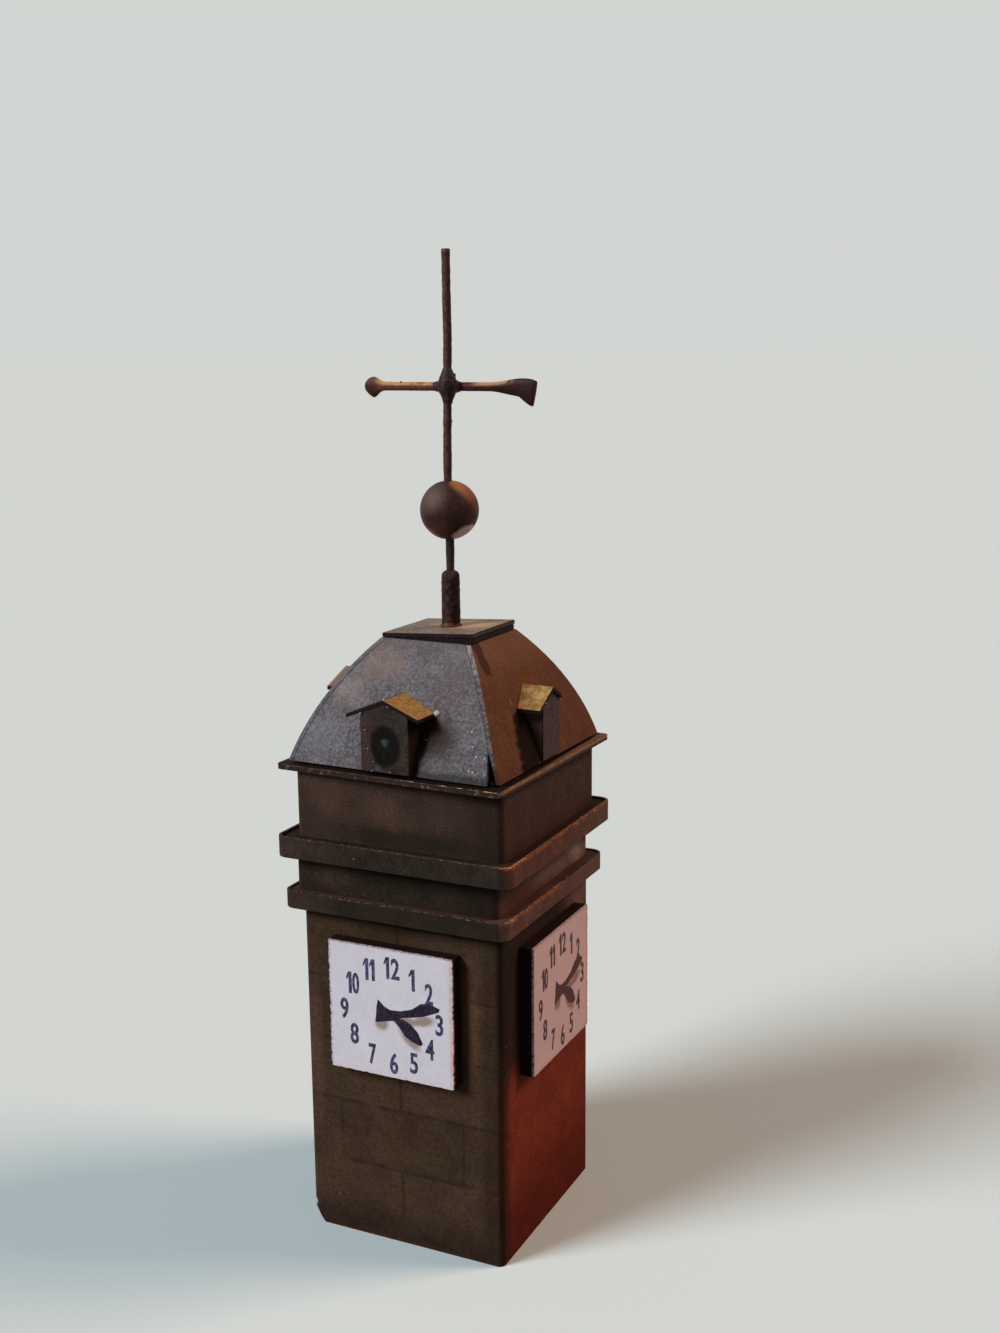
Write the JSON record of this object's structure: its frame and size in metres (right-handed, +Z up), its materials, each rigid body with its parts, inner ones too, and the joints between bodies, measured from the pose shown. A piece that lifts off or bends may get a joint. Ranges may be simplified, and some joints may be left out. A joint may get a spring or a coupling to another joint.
{
  "type": "card model clock turret",
  "caption": "Square folded-card model of a clock turret with dials on its sides, ledges, a curved hipped roof with dormers, and a wire cross; it rests on its open foot.",
  "frame": {"origin": "on the floor, in the middle of the shaft's open foot", "axes": "+Z up along the tower; the front dial faces -Y and the right-hand dial faces +X"},
  "size_m": [0.0182, 0.0182, 0.0698],
  "materials": {
    "shaft_card": "satin",
    "box_card": "satin",
    "dial_block_card": "matte",
    "dial_paper": "satin",
    "ledge_card": "matte",
    "ledge_paper": "satin",
    "cornice_card": "satin",
    "former_card": "matte",
    "roof_card": "gloss",
    "cap_glue": "gloss",
    "cap_card": "satin",
    "dormer_card": "satin",
    "dormer_roof_card": "satin",
    "wire": "browned",
    "bead": "browned",
    "solder": "satin"
  },
  "bodies": {
    "root": {"shaft": "shaft_card", "dial_block_front": "dial_block_card", "dial_block_right": "dial_block_card", "dial_block_back": "dial_block_card", "dial_block_left": "dial_block_card", "dial_face_front": "dial_paper", "dial_face_right": "dial_paper", "dial_face_back": "dial_paper", "dial_face_left": "dial_paper", "lower_ledge_plate": "ledge_card", "lower_ledge_strip": "ledge_paper", "middle_box": "box_card", "upper_ledge_plate": "ledge_card", "upper_ledge_strip": "ledge_paper", "upper_box": "box_card", "cornice_plate": "cornice_card", "roof_former": "former_card", "roof_panel_front": "roof_card", "roof_panel_right": "roof_card", "roof_panel_back": "roof_card", "roof_panel_left": "roof_card", "cap_bed": "cap_glue", "cap_plate": "cap_card", "dormer_body_front": "dormer_card", "dormer_body_right": "dormer_card", "dormer_body_back": "dormer_card", "dormer_body_left": "dormer_card", "dormer_roof_front": "dormer_roof_card", "dormer_roof_right": "dormer_roof_card", "dormer_roof_back": "dormer_roof_card", "dormer_roof_left": "dormer_roof_card", "finial_sleeve": "wire", "finial_rod": "wire", "finial_ball": "bead", "cross_arm": "wire", "solder_joint": "solder"}
  },
  "joints": []
}
